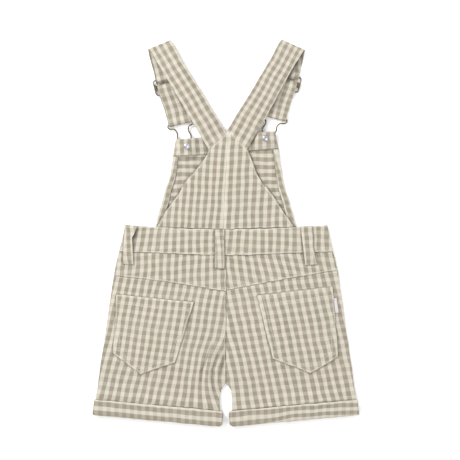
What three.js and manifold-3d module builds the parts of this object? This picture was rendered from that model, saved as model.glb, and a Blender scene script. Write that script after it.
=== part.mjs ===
// Toddler's gingham shortalls, laid flat with the front underneath and the back on top.
// Millimetres, +Z up, +Y towards the shoulder straps, origin under the middle of the outline.
import * as THREE from 'three';
import { mergeVertices } from 'three/addons/utils/BufferGeometryUtils.js';
import Module from 'manifold-3d';

// Driving dimensions
const CLOTH = 1.4;
const BAND_CLOTH = 1.8;
const HEM_CLOTH = 1.2;
const LOOP_CLOTH = 1.2;
const TAB_CLOTH = 1;
const STRAP_CLOTH = 1.3;
const STRAP_WIDTH = 30;
const SEAM_GAP = 0.3;
const LAYER_GAP = 0.6;
const LAP_GAP = 0.45;
const WIRE_RADIUS = 0.9;
const CUFF_CLOTH = 2;
const CUFF_HEIGHT = 20;
const CUFF_NOSE = 3;
const CUFF_MIDDLE = 4;
const CUFF_EASE = 0.1;
const SIDE_WIDTH_AT_BAND = 137;
const SIDE_FLARE = 0.148;
const BAND_BOTTOM_Y = -23;
const HEM_OUTER = { x: 170, y: -231 };
const HEM_INNER = { x: 5, y: -246 };
const LEG_PUFF = 1.6;
const BIB_LIFT = 5.1;
const PANEL_BASE = 3.3;
const PANEL_LIFT = 4.8;
const CAP_RADIUS = 8.5;
const CAP_HEIGHT = 2.5;
const SHANK_RADIUS = 1.5;
const RIVET_RADIUS = 4.15;
const SLIDER_WIDTH = 39;
const SLIDER_HEIGHT = 21.5;
const SLIDER_CORNER = 3;
const SLIDER_BAR_RADIUS = 0.75;

const COLOURS = {
  face: 0xc9c0ad,
  wrongSide: 0xbdb39d,
  trim: 0xcfc7b5,
  tape: 0xe9e5dc,
  brass: 0x6b5a3c,
  steel: 0xb9bcbd,
};

const { lerp, smoothstep } = THREE.MathUtils;
const group = new THREE.Group();
const wasm = await Module();
wasm.setup();

// Names the columns of a short table
const table = (columns, rows) =>
  rows.map((row) => Object.fromEntries(columns.map((column, i) => [column, row[i] ?? 0])));

// Makes one closed body from corners and triangles, with its faces pointing out
function closedBody(corners, triangles) {
  const corner = (i) => new THREE.Vector3().fromArray(corners, 3 * i);
  let volume = 0;
  for (let i = 0; i < triangles.length; i += 3) {
    const [a, b, c] = [corner(triangles[i]), corner(triangles[i + 1]), corner(triangles[i + 2])];
    volume += a.dot(b.cross(c));
  }
  const outward = volume > 0 ? triangles : triangles.slice().reverse();
  const body = new THREE.BufferGeometry();
  body.setAttribute('position', new THREE.Float32BufferAttribute(corners, 3));
  body.setIndex(outward);
  return body;
}

function addPiece(name, geometry, colour, roughness = 0.9, metalness = 0) {
  const finish = new THREE.MeshStandardMaterial({ color: colour, roughness, metalness });
  const piece = new THREE.Mesh(geometry, finish);
  piece.name = name;
  group.add(piece);
  return piece;
}

// Outline of a panel: v counts the rows of its table, u runs from the outer edge to the inner one
function ruled(rows) {
  return (u, v) => {
    const row = Math.min(Math.floor(v), rows.length - 2);
    const at = (column) => lerp(rows[row][column], rows[row + 1][column], v - row);
    const y = lerp(at('outerY'), at('innerY'), u) + at('bow') * 4 * u * (1 - u);
    return [lerp(at('outerX'), at('innerX'), u), y];
  };
}

const EDGES = ['outerX', 'outerY', 'innerX', 'innerY', 'bow'];
const mirrored = (rows, side) =>
  rows.map((row) => ({ ...row, outerX: side * row.outerX, innerX: side * row.innerX }));
const evenly = (count, from = 0, to = 1) =>
  Array.from({ length: count + 1 }, (_, i) => from + ((to - from) * i) / count);

// A wall of cloth over a grid of an outline, standing on the height that under(x, y) gives
function clothWall(us, vs, outline, under, thick) {
  const corners = [];
  for (const lift of [0, thick]) {
    for (const v of vs) {
      for (const u of us) {
        const [x, y] = outline(u, v);
        corners.push(x, y, under(x, y) + lift);
      }
    }
  }
  const across = us.length;
  const along = vs.length;
  const index = (layer, row, column) => (layer * along + row) * across + column;
  const triangles = [];
  const quad = (a, b, c, d) => triangles.push(a, b, c, a, c, d);
  for (let row = 0; row < along - 1; row++) {
    for (let column = 0; column < across - 1; column++) {
      const ring = (layer) => [
        index(layer, row, column),
        index(layer, row, column + 1),
        index(layer, row + 1, column + 1),
        index(layer, row + 1, column),
      ];
      const [a, b, c, d] = ring(0);
      quad(...ring(1));
      quad(a, d, c, b);
    }
  }
  const rim = [
    ...us.slice(1).map((_, i) => [0, i]),
    ...vs.slice(1).map((_, i) => [i, across - 1]),
    ...us.slice(1).map((_, i) => [along - 1, across - 1 - i]),
    ...vs.slice(1).map((_, i) => [along - 1 - i, 0]),
  ];
  rim.forEach(([row, column], i) => {
    const [nextRow, nextColumn] = rim[(i + 1) % rim.length];
    const [here, next] = [index(0, row, column), index(0, nextRow, nextColumn)];
    quad(here, next, index(1, nextRow, nextColumn), index(1, row, column));
  });
  return closedBody(corners, triangles);
}

// Joins rings of equal count into one body, closed as a loop or capped at both ends
function loft(rings, { loop = false, capOutline = null } = {}) {
  const corners = rings.flatMap((ring) => ring.flatMap((point) => point.toArray()));
  const count = rings[0].length;
  const triangles = [];
  const spans = loop ? rings.length : rings.length - 1;
  for (let span = 0; span < spans; span++) {
    const next = (span + 1) % rings.length;
    for (let i = 0; i < count; i++) {
      const j = (i + 1) % count;
      const [a, b, c, d] = [span * count + i, span * count + j, next * count + j, next * count + i];
      triangles.push(a, b, c, a, c, d);
    }
  }
  if (!loop) {
    const last = (rings.length - 1) * count;
    const fan = evenly(count - 3, 1, count - 2).map((i) => [0, i, i + 1]);
    const cap = capOutline ? THREE.ShapeUtils.triangulateShape(capOutline, []) : fan;
    const turned = capOutline !== null && THREE.ShapeUtils.isClockWise(capOutline);
    for (const [a, b, c] of cap) {
      const [second, third] = turned ? [c, b] : [b, c];
      triangles.push(a, third, second);
      triangles.push(last + a, last + second, last + third);
    }
  }
  return closedBody(corners, triangles);
}

function toSolid(geometry) {
  const bare = geometry.clone();
  for (const attribute of ['normal', 'uv']) bare.deleteAttribute(attribute);
  const merged = mergeVertices(bare, 1e-4);
  const vertProperties = new Float32Array(merged.attributes.position.array);
  const triVerts = new Uint32Array(merged.index.array);
  return new wasm.Manifold(new wasm.Mesh({ numProp: 3, vertProperties, triVerts }));
}

function toGeometry(solid) {
  const { vertProperties, triVerts } = solid.getMesh();
  const geometry = new THREE.BufferGeometry();
  geometry.setAttribute('position', new THREE.BufferAttribute(new Float32Array(vertProperties), 3));
  geometry.setIndex(new THREE.BufferAttribute(new Uint32Array(triVerts), 1));
  return geometry;
}

// Heights of the layers: cuff, front leg, back leg, from the surface up
const SETTLE = { from: CUFF_HEIGHT + 18, to: CUFF_HEIGHT + 3 };
const PUFF_ROWS = { starts: 60, full: 110, wanes: 150, ends: 205 };

function hemY(x) {
  const outward = (Math.abs(x) - HEM_INNER.x) / (HEM_OUTER.x - HEM_INNER.x);
  return lerp(HEM_INNER.y, HEM_OUTER.y, outward);
}
const frontLegUnder = (x, y) =>
  (CUFF_CLOTH + SEAM_GAP) * (1 - smoothstep(y - hemY(x), SETTLE.to, SETTLE.from));

function legPuff(x, y) {
  const sideX = SIDE_WIDTH_AT_BAND + (BAND_BOTTOM_Y - y) * SIDE_FLARE;
  const across = Math.min(Math.abs(x) / sideX, 1);
  const rise = smoothstep(-y, PUFF_ROWS.starts, PUFF_ROWS.full);
  const fall = smoothstep(-y, PUFF_ROWS.wanes, PUFF_ROWS.ends);
  return LEG_PUFF * 4 * across * (1 - across) * rise * (1 - fall);
}

// Drag folds that run down and out from the crotch: two ends, half width and height of each ridge
const DRAG_FOLDS = table(['fromX', 'fromY', 'toX', 'toY', 'halfWidth', 'height'], [
  [-8, -146, -16, -174, 9, 3.2],
  [-16, -174, -20, -202, 8, 2.6],
  [-27, -158, -36, -188, 9, 1.6],
  [6, -160, 13, -186, 8, 1.8],
  [24, -166, 31, -192, 9, 1.2],
]);

function foldHeight(x, y) {
  const heights = DRAG_FOLDS.map((fold) => {
    const run = new THREE.Vector2(fold.toX - fold.fromX, fold.toY - fold.fromY);
    const away = new THREE.Vector2(x - fold.fromX, y - fold.fromY);
    const t = THREE.MathUtils.clamp(away.dot(run) / run.lengthSq(), 0, 1);
    const distance = away.addScaledVector(run, -t).length();
    return fold.height * (1 - smoothstep(distance, 0, fold.halfWidth));
  });
  return Math.max(...heights);
}

const backLegUnder = (x, y) =>
  frontLegUnder(x, y) + CLOTH + LAYER_GAP + legPuff(x, y) + foldHeight(x, y);
const backLegTop = (x, y) => backLegUnder(x, y) + CLOTH;
const bandUnder = () => BAND_CLOTH + LAYER_GAP;
const bandTop = bandUnder() + BAND_CLOTH;

// Legs: side seam and inner seam, from the top of the panel to the turn of the cuff
const LEG_ROWS = [
  [149, -90.9, 0.2, -108, 0],
  [154.9, -131.8, 0.2, -150, 0],
  [160.6, -170, 0.2, -189.4, 0],
  [162.5, -184, 6.4, -199, 0],
  [165.1, -203.5, 8.3, -214, 0],
  [167.3, -226.8, 8, -241.2, 0],
];
const FRONT_LEG_TOP = [137, -22.5, 0.2, -27.8, 0];
const YOKE_SEAMS = {
  left: [143.3, -53, 0.2, -73.5, 1.5],
  right: [142.8, -46, 0.2, -71.7, 0.5],
};
const YOKE_TOP = [136.9, -22.5, 0.2, -27.8, 0];
const SIDES = { left: -1, right: 1 };

const lowered = (row, drop) => [row[0], row[1] - drop, row[2], row[3] - drop, row[4]];
const legColumns = [0, 0.12, 0.24, 0.36, 0.48, 0.58, 0.67, 0.74, 0.79, 0.83, 0.87, 0.91, 0.955, 1];
const legRowCounts = [2, 2, 3, 2, 3, 3];
const legRows = [0, ...legRowCounts.flatMap((count, row) => evenly(count, row, row + 1).slice(1))];

for (const [name, side] of Object.entries(SIDES)) {
  const front = ruled(mirrored(table(EDGES, [FRONT_LEG_TOP, ...LEG_ROWS]), side));
  const frontWall = clothWall(evenly(6), legRows, front, frontLegUnder, CLOTH);
  addPiece(`front_leg_${name}`, frontWall, COLOURS.face);
  const seam = YOKE_SEAMS[name];
  const back = ruled(mirrored(table(EDGES, [lowered(seam, SEAM_GAP), ...LEG_ROWS]), side));
  const backWall = clothWall(legColumns, legRows, back, backLegUnder, CLOTH);
  addPiece(`back_leg_${name}`, backWall, COLOURS.face);
  const yoke = ruled(mirrored(table(EDGES, [YOKE_TOP, seam]), side));
  addPiece(`yoke_${name}`, clothWall(evenly(8), evenly(3), yoke, backLegUnder, CLOTH), COLOURS.face);
}

// Waistbands: stations across the garment, each with its top (outer) and bottom (inner) edge
const BAND_STATIONS = table(EDGES, [
  [-128.6, 11.5, -136.7, -22.2],
  [-90.1, 9, -93, -23.9],
  [-45, 6.8, -46, -25.8],
  [-1.3, 6, -1, -27.4],
  [45, 6.8, 46, -25.8],
  [90.2, 9, 93, -23.9],
  [129.3, 11.5, 136.7, -22.2],
]);
const band = ruled(BAND_STATIONS);
for (const [name, under] of Object.entries({ front: () => 0, back: bandUnder })) {
  const wall = clothWall(evenly(2), evenly(12, 0, 6), band, under, BAND_CLOTH);
  addPiece(`waistband_${name}`, wall, COLOURS.face);
}

// Belt loops: the top and bottom edge of each strip, laid over the band and sewn down on the yoke
const LOOP_STEP = { onYoke: -36, onBand: -27 };
const loopUnder = (x, y) => {
  const yokeTop = backLegTop(x, y) + LAP_GAP;
  return lerp(yokeTop, bandTop + LAP_GAP, smoothstep(y, LOOP_STEP.onYoke, LOOP_STEP.onBand));
};
const BELT_LOOPS = {
  left: [
    [-128.4, 10.6, -112.6, 10.2],
    [-130.2, -4, -119.6, -4.5],
    [-131.8, -38.2, -117.8, -38.8],
  ],
  centre: [
    [-14.6, 6.2, -2, 6],
    [-14.4, -20, -1.8, -20],
    [-14.2, -44.2, -1.6, -44.2],
  ],
  right: [
    [96, 9, 110.4, 9.8],
    [97.9, -16, 111, -15.6],
    [101, -39.7, 116.5, -39.3],
  ],
};
for (const [name, rows] of Object.entries(BELT_LOOPS)) {
  const strip = ruled(table(EDGES, rows));
  const wall = clothWall([0, 0.5, 1], evenly(12, 0, 2), strip, loopUnder, LOOP_CLOTH);
  addPiece(`belt_loop_${name}`, wall, COLOURS.trim);
}

// Back pockets: stations across, each with the mouth (outer) and the pointed bottom (inner)
const POCKETS = {
  left: [
    [-139.8, -77.3, -144, -152.3],
    [-97.5, -81.5, -109.2, -178.7],
    [-41, -87, -64.8, -163.6],
  ],
  right: [
    [39.4, -78.3, 59.8, -159.1],
    [91.5, -72.5, 108, -177.4],
    [136.2, -67, 143.4, -156.8],
  ],
};
const pocketUnder = (x, y) => backLegTop(x, y) + LAP_GAP;
for (const [name, stations] of Object.entries(POCKETS)) {
  const pocket = ruled(table(EDGES, stations));
  const wall = clothWall(evenly(8), evenly(10, 0, 2), pocket, pocketUnder, CLOTH);
  addPiece(`pocket_back_${name}`, wall, COLOURS.face);
}

// Small folded tab held in the right pocket's side seam
const tab = ruled(table(EDGES, [
  [137.7, -81.5, 141.3, -81.8],
  [139.3, -100.7, 143.6, -101.2],
]));
addPiece('label_tab', clothWall(evenly(2), evenly(3), tab, pocketUnder, TAB_CLOTH), COLOURS.tape);

// Cuffs: a doubled band turned up outside the leg, with a round turn closing over the leg's end
function cuff(side, outerFace, turnFace, innerFace) {
  const hem = new THREE.Vector2(HEM_OUTER.x - HEM_INNER.x, HEM_OUTER.y - HEM_INNER.y).normalize();
  const upright = new THREE.Vector3(-hem.y, hem.x, 0);
  const turnMiddle = (outerFace + turnFace) / 2;
  const turnReach = Math.abs(outerFace - turnFace) / 2;
  const turn = evenly(6).map((t) => {
    const angle = Math.PI * t;
    const swing = Math.sign(outerFace - turnFace) * turnReach;
    return [CUFF_NOSE * (1 - Math.sin(angle)), turnMiddle + swing * Math.cos(angle)];
  });
  const section = [[CUFF_HEIGHT, innerFace], [CUFF_HEIGHT, outerFace], [CUFF_HEIGHT / 2, outerFace], ...turn,
    [CUFF_MIDDLE, turnFace], [CUFF_MIDDLE, innerFace], [CUFF_HEIGHT / 2, innerFace]];
  const rings = evenly(8).map((t) => {
    const x = lerp(HEM_OUTER.x, HEM_INNER.x, t);
    const base = new THREE.Vector3(x, hemY(x), 0);
    return section.map(([height, z]) => {
      const point = base.clone().addScaledVector(upright, height);
      return new THREE.Vector3(side * point.x, point.y, z);
    });
  });
  return loft(rings, { capOutline: section.map(([height, z]) => new THREE.Vector2(height, z)) });
}
const frontTurnTop = CUFF_CLOTH + SEAM_GAP + CLOTH + CUFF_EASE;
const backCuffUnder = CUFF_CLOTH + SEAM_GAP + CLOTH + LAYER_GAP + CLOTH + LAP_GAP;
for (const [name, side] of Object.entries(SIDES)) {
  addPiece(`cuff_front_${name}`, cuff(side, 0, frontTurnTop, CUFF_CLOTH), COLOURS.wrongSide);
  const backCuff = cuff(side, backCuffUnder + CUFF_CLOTH, frontTurnTop + SEAM_GAP, backCuffUnder);
  addPiece(`cuff_back_${name}`, backCuff, COLOURS.wrongSide);
}

// Bib, front side down, lifted where the buttons and hooks lie under it
const BUTTONS = {
  left: { button: [-49.7, 111.9], hookTop: [-52.5, 126] },
  right: { button: [50.3, 121.6], hookTop: [53, 136] },
};
const LIFT_SPREAD = { flat: 9.5, ends: 17 };
function bibUnder(x, y) {
  const lifts = Object.values(BUTTONS).map(({ button, hookTop }) => {
    const run = new THREE.Vector2(hookTop[0] - button[0], hookTop[1] - button[1]);
    const away = new THREE.Vector2(x - button[0], y - button[1]);
    const t = THREE.MathUtils.clamp(away.dot(run) / run.lengthSq(), 0, 1);
    return 1 - smoothstep(away.addScaledVector(run, -t).length(), LIFT_SPREAD.flat, LIFT_SPREAD.ends);
  });
  return BIB_LIFT * Math.max(...lifts);
}
const hemUnder = (x, y) => bibUnder(x, y) + CLOTH + SEAM_GAP;

const bib = ruled(table(EDGES, [
  [-89.4, 9.5, 89.4, 9.5, -2.9],
  [-87, 23, 85.8, 24],
  [-82.3, 39, 81.5, 39],
  [-78.1, 55, 76, 55.7],
  [-72.6, 69.5, 72.2, 73],
  [-69.6, 88, 69, 95],
  [-67.7, 99, 66.9, 109.3],
  [-66, 110, 65, 120],
  [-64.3, 120.3, 63.2, 131],
]));
const HEM_ROW = 6;
const TOP_ROW = 8;
const SIDE_HEM = 0.052;
const bibColumns = [0, 0.026, SIDE_HEM, 0.085, 0.12, 0.155, 0.19, 0.23, 0.28, 0.36, 0.5, 0.64, 0.72, 0.77,
  0.81, 0.845, 0.88, 0.915, 1 - SIDE_HEM, 0.974, 1];
const bibRows = [...evenly(5, 0, 5), 5.5, ...evenly(4, HEM_ROW, TOP_ROW)];

// Cuts round holes for the buttons' shanks through a piece of the bib
const DRILL = { length: 30, facets: 10, middle: 5 };
function withShankHoles(geometry) {
  let solid = toSolid(geometry);
  for (const { button } of Object.values(BUTTONS)) {
    const radius = SHANK_RADIUS + SEAM_GAP;
    const drill = new THREE.CylinderGeometry(radius, radius, DRILL.length, DRILL.facets);
    drill.rotateX(Math.PI / 2).translate(button[0], button[1], DRILL.middle);
    solid = solid.subtract(toSolid(drill));
  }
  return toGeometry(solid);
}
const bibWall = clothWall(bibColumns, bibRows, bib, bibUnder, CLOTH);
addPiece('bib_front', withShankHoles(bibWall), COLOURS.wrongSide);
const topHemRows = bibRows.filter((v) => v >= HEM_ROW);
const topHem = clothWall(bibColumns, topHemRows, bib, hemUnder, HEM_CLOTH);
addPiece('bib_hem_top', withShankHoles(topHem), COLOURS.face);
const sideHemRows = [...bibRows.filter((v) => v < HEM_ROW), HEM_ROW - 0.04];
const sideHemColumns = {
  left: bibColumns.filter((u) => u <= SIDE_HEM),
  right: bibColumns.filter((u) => u >= 1 - SIDE_HEM),
};
for (const [name, columns] of Object.entries(sideHemColumns)) {
  const hem = clothWall(columns, sideHemRows, bib, hemUnder, HEM_CLOTH);
  addPiece(`bib_hem_${name}`, hem, COLOURS.face);
}

// Upper back in two halves, up to the peak that the straps are sewn to
const PANEL_RISE = { from: 20, to: 92 };
const backPanelUnder = (x, y) =>
  lerp(PANEL_BASE, PANEL_LIFT, smoothstep(y, PANEL_RISE.from, PANEL_RISE.to));
const BACK_PANELS = {
  left: [
    [-87.8, 9.4, -2.7, 6.5],
    [-76.8, 29.3, -2.9, 24],
    [-61.4, 50.2, -1.9, 46],
    [-49, 70.3, -0.9, 70],
    [-37.9, 82, 0.3, 88],
    [-27.3, 96.3, 1.3, 106],
    [-24.4, 101.8, 2, 118],
    [-22.2, 107.2, 2.4, 131.2],
  ],
  right: [
    [87, 9.4, -2.4, 6.5],
    [71.5, 31, -2.6, 24],
    [59.3, 50.2, -1.6, 46],
    [46, 66, -0.6, 70],
    [38.4, 79, 0.6, 88],
    [32, 96.3, 1.6, 106],
    [29.8, 101.4, 2.3, 118],
    [28, 106.6, 2.7, 131.2],
  ],
};
for (const [name, rows] of Object.entries(BACK_PANELS)) {
  const panel = ruled(table(EDGES, rows));
  const wall = clothWall(evenly(5), evenly(14, 0, 7), panel, backPanelUnder, CLOTH);
  addPiece(`back_panel_${name}`, wall, COLOURS.face);
}

// Heights along the strap's lower run, through the slider and round the hook's bar
const FOLD_RADIUS = 2.6;
const LOW = STRAP_CLOTH / 2;
const DOUBLED = LOW + STRAP_CLOTH + SEAM_GAP;
const BAR_WRAP = WIRE_RADIUS + SEAM_GAP + LOW;
const BAR_HEIGHT = LOW + BAR_WRAP;
const BAR_SPACING = SLIDER_HEIGHT / 2 - WIRE_RADIUS;

// Strap lines: the fold's middle, the ways up to it and down from it, the seam's two corners, and how
// far down the slider and the hook sit. In strays each row is a share of the upper run from the seam
// to the fold, and how far its inner edge and its outer edge stray outwards there.
const STRAPS = {
  left: {
    side: SIDES.left, foldMiddle: [-83.5, 237.55], up: [-0.52, 0.854], down: [0.225, -0.974],
    seamOuter: [-21.8, 107.4], seamInner: [0.3, 128.8], slider: 56.8, hook: 106.5,
    asideAtSlider: -0.6, asideAtHook: -4.2, sliderAside: -0.2,
    strays: [[0, 0, 0], [0.6, 0, -1.5], [0.85, 0, -2], [1, 0, 0]],
  },
  right: {
    side: SIDES.right, foldMiddle: [84.6, 236.85], up: [0.52, 0.854], down: [-0.25, -0.968],
    seamOuter: [27.6, 106.8], seamInner: [2.7, 131.1], slider: 51.2, hook: 98,
    asideAtSlider: 1.2, asideAtHook: -0.8, sliderAside: 0.1,
    strays: [[0, -1.2, 2.8], [0.4, -1.2, 2], [0.6, -1.2, 0], [0.85, -1.2, -1.6], [1, 0, 0]],
  },
};

// Plan frame of a strap: where a distance along and across it lies on the lower run
function strapFrame(settings) {
  const { side, foldMiddle, up, down, slider: sliderAt, hook: hookAt } = settings;
  const fold = new THREE.Vector3(...foldMiddle, 0);
  const upward = new THREE.Vector3(...up, 0).normalize();
  const downward = new THREE.Vector3(...down, 0).normalize();
  const outward = new THREE.Vector3(side * upward.y, -side * upward.x, 0);
  const over = upward.clone().sub(downward).normalize();
  const lowerAcross = outward.clone().addScaledVector(over, -2 * outward.dot(over));
  const lowerStart = fold.clone().addScaledVector(over, Math.PI * FOLD_RADIUS);
  const onLower = (along, aside, z) => {
    const { asideAtSlider, asideAtHook } = settings;
    const toSlider = asideAtSlider * smoothstep(along, 0, sliderAt - 10);
    const toHook = (asideAtHook - asideAtSlider) * smoothstep(along, sliderAt, hookAt - 10);
    const plan = lowerStart.clone().addScaledVector(downward, along);
    return plan.addScaledVector(lowerAcross, aside + toSlider + toHook).setZ(z);
  };
  return { fold, upward, downward, outward, over, lowerAcross, onLower };
}

// Side view of the lower run: distance along it and height, down over two bars and back from the hook
function lowerRun({ slider, hook }) {
  const wrap = evenly(6).map((t) => {
    const angle = Math.PI * (0.5 - t);
    return [hook + BAR_WRAP * Math.cos(angle), BAR_HEIGHT + BAR_WRAP * Math.sin(angle)];
  });
  const overBar = BAR_HEIGHT + BAR_WRAP;
  const firstBar = slider - BAR_SPACING;
  const lastBar = slider + BAR_SPACING;
  return [
    [slider - 30, LOW],
    [firstBar - 10, LOW],
    [firstBar - 5.5, LOW + 0.4],
    [firstBar - 1.9, overBar - 0.7],
    [firstBar, overBar],
    [firstBar + 1.4, overBar - 0.6],
    [firstBar + 2.1, BAR_HEIGHT],
    [firstBar + 2.9, LOW + 0.5],
    [slider - BAR_SPACING / 2, LOW],
    [slider - 2.9, LOW + 0.5],
    [slider - 2.1, BAR_HEIGHT],
    [slider - 1.4, overBar - 0.6],
    [slider, overBar],
    [lastBar, overBar],
    [lastBar + 2, overBar - 0.4],
    [lastBar + 6, DOUBLED + 0.4],
    [lastBar + 9, DOUBLED],
    [hook - 8, DOUBLED],
    [hook - 4, DOUBLED + 1],
    [hook - 1.6, overBar - 0.2],
    ...wrap,
    [hook - 8, LOW],
    [hook - 20, LOW],
    [slider + 0.5, LOW],
  ];
}

// The upper run climbs from the back panel to the fold, in two stretches
const CLIMB = { level: 7, fromSeam: 28, beforeFold: 38, atFold: 3 };

// How far across it an edge of the upper run lies, t of the way from the seam to the fold
function strayed(w, t, strays) {
  if (w === 0) return 0;
  const edge = w < 0 ? 1 : 2;
  const next = Math.max(strays.findIndex(([share]) => share >= t), 1);
  const [before, after] = [strays[next - 1], strays[next]];
  return w + lerp(before[edge], after[edge], (t - before[0]) / (after[0] - before[0]));
}

function strap(settings) {
  const frame = strapFrame(settings);
  const half = STRAP_WIDTH / 2;
  const spread = [-half, 0, half];
  const topLayer = LOW + 2 * FOLD_RADIUS;
  const upperHeight = (s, length) => {
    const fromSeam = length + s;
    const rise = lerp(PANEL_LIFT + LOW, CLIMB.level + LOW, smoothstep(fromSeam, 0, CLIMB.fromSeam));
    return lerp(rise, topLayer, smoothstep(s, -CLIMB.beforeFold, -CLIMB.atFold));
  };
  const alongSeam = (corner) =>
    new THREE.Vector3(...corner, 0).sub(frame.fold).dot(frame.upward) + 2 * SEAM_GAP;
  const seam = { outer: alongSeam(settings.seamOuter), inner: alongSeam(settings.seamInner) };
  const length = -(seam.outer + seam.inner) / 2;
  const tilt = frame.outward.dot(frame.over) / frame.upward.dot(frame.over);
  const rings = [];
  const addRing = (pointAt, normalAt) => {
    const face = (sign) =>
      spread.map((w) => pointAt(w).addScaledVector(normalAt(w), (sign * STRAP_CLOTH) / 2));
    rings.push([...face(1), ...face(-1).reverse()]);
  };
  const upright = new THREE.Vector3(0, 0, 1);
  for (const t of evenly(14).slice(0, -1)) {
    const alongAt = (w) => lerp(lerp(seam.inner, seam.outer, (w + half) / STRAP_WIDTH), -w * tilt, t);
    const pointAt = (w) => {
      const plan = frame.fold.clone().addScaledVector(frame.upward, alongAt(w));
      const aside = strayed(w, t, settings.strays);
      return plan.addScaledVector(frame.outward, aside).setZ(upperHeight(alongAt(w), length));
    };
    addRing(pointAt, () => upright);
  }
  for (const t of evenly(8)) {
    const angle = Math.PI * t;
    const turned = frame.over.clone().multiplyScalar(Math.sin(angle));
    const normal = turned.addScaledVector(upright, Math.cos(angle));
    const height = topLayer - FOLD_RADIUS + FOLD_RADIUS * Math.cos(angle);
    const pointAt = (w) => {
      const s = (angle * FOLD_RADIUS) / frame.upward.dot(frame.over) - w * tilt;
      const plan = frame.upward.clone().multiplyScalar(s).addScaledVector(frame.outward, w);
      const aside = plan.addScaledVector(frame.over, -plan.dot(frame.over)).add(frame.fold);
      return aside.addScaledVector(normal, FOLD_RADIUS).setZ(height);
    };
    addRing(pointAt, () => normal);
  }
  const run = lowerRun(settings);
  run.forEach(([along, z], i) => {
    const [before, after] = [run[Math.max(i - 1, 0)], run[Math.min(i + 1, run.length - 1)]];
    const travel = new THREE.Vector2(after[0] - before[0], after[1] - before[1]).normalize();
    const normal = frame.downward.clone().multiplyScalar(travel.y).addScaledVector(upright, -travel.x);
    addRing((w) => frame.onLower(along, w, z), () => normal);
  });
  return loft(rings);
}

// A wire bent into a closed loop
function wireLoop(points, sides = 6) {
  const rings = points.map((point, i) => {
    const before = points[(i + points.length - 1) % points.length];
    const after = points[(i + 1) % points.length];
    const travel = after.clone().sub(before).normalize();
    const aside = new THREE.Vector3().crossVectors(travel, new THREE.Vector3(0, 0, 1)).normalize();
    const above = new THREE.Vector3().crossVectors(aside, travel);
    return evenly(sides).slice(0, -1).map((t) => {
      const angle = 2 * Math.PI * t;
      return point.clone()
        .addScaledVector(aside, WIRE_RADIUS * Math.cos(angle))
        .addScaledVector(above, WIRE_RADIUS * Math.sin(angle));
    });
  });
  return loft(rings, { loop: true });
}

// Slider: a round-cornered wire frame with a thinner bar across its middle
function slider(settings) {
  const frame = strapFrame(settings);
  const [halfWidth, corner] = [SLIDER_WIDTH / 2 - WIRE_RADIUS, SLIDER_CORNER];
  const place = (along, aside) =>
    frame.onLower(settings.slider + along, aside + settings.sliderAside, BAR_HEIGHT);
  const points = [];
  for (const quarter of [0, 1, 2, 3]) {
    const [signX, signY] = [[1, 1], [-1, 1], [-1, -1], [1, -1]][quarter];
    for (const t of evenly(3)) {
      const angle = (Math.PI / 2) * (quarter + t);
      const aside = signX * (halfWidth - corner) + corner * Math.cos(angle);
      const along = signY * (BAR_SPACING - corner) + corner * Math.sin(angle);
      points.push(place(along, aside));
    }
  }
  const ends = [-halfWidth, halfWidth].map((aside) => place(0, aside));
  const bar = new THREE.ExtrudeGeometry(
    new THREE.Shape().absarc(0, 0, SLIDER_BAR_RADIUS, 0, 2 * Math.PI),
    { steps: 1, curveSegments: 4, extrudePath: new THREE.LineCurve3(...ends) },
  );
  return toGeometry(toSolid(wireLoop(points)).add(toSolid(bar)));
}

// Hook: half outline of the bent wire, aside from its middle line, up from the button's shank,
// and its shoulder, down from the strap's end
const HOOK_TIP = [0, -3];
const HOOK_HALF = [[2.7, -1.6], [3.1, 1.5], [4.6, 5], [8.2, 9.5], [8.7, 14], [7.4, 18.5]];
const HOOK_SHOULDER = [[8, 9], [9.8, 6.4], [14.6, 5.6], [16.7, 4], [16.7, 1], [15.6, 0]];
const HOOK_STEPS = 56;

function hook(settings, { button }) {
  const frame = strapFrame(settings);
  const barMiddle = frame.onLower(settings.hook, 0, BAR_HEIGHT);
  const shank = new THREE.Vector3(...button, CAP_HEIGHT + SEAM_GAP + WIRE_RADIUS);
  const reach = shank.clone().sub(barMiddle).dot(frame.downward);
  const half = [...HOOK_HALF, ...HOOK_SHOULDER.map(([aside, drop]) => [aside, reach - drop])];
  const outline = [HOOK_TIP, ...half, ...half.map(([aside, up]) => [-aside, up]).reverse()];
  const curve = new THREE.CatmullRomCurve3(outline.map(([aside, up]) => {
    const towardsBar = THREE.MathUtils.clamp(up / reach, -0.2, 1);
    const middle = shank.clone().lerp(barMiddle, towardsBar);
    return middle.addScaledVector(frame.lowerAcross, aside);
  }), true, 'centripetal');
  return wireLoop(curve.getSpacedPoints(HOOK_STEPS).slice(0, -1));
}

// Tack button: domed cap on the surface, shank up through the hook and the bib, round back over it
function lathed(profile, segments, [x, y]) {
  const halfSection = profile.map(([radius, z]) => new THREE.Vector2(radius, z));
  const turned = new THREE.LatheGeometry(halfSection, segments);
  return turned.rotateX(Math.PI / 2).translate(x, y, 0);
}
const rivetUnder = BIB_LIFT + CLOTH + SEAM_GAP + HEM_CLOTH + SEAM_GAP;
const CAP_PROFILE = [
  [0, 0],
  [CAP_RADIUS - 1, 0],
  [CAP_RADIUS, 0.9],
  [CAP_RADIUS - 0.4, 2],
  [CAP_RADIUS - 1.4, CAP_HEIGHT],
  [SHANK_RADIUS, CAP_HEIGHT],
  [SHANK_RADIUS, rivetUnder - SEAM_GAP],
  [0, rivetUnder - SEAM_GAP],
];
const RIVET_PROFILE = [
  [0, rivetUnder],
  [RIVET_RADIUS, rivetUnder],
  [RIVET_RADIUS, rivetUnder + 0.5],
  [RIVET_RADIUS - 0.7, rivetUnder + 1],
  [0, rivetUnder + 1.1],
];

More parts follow.
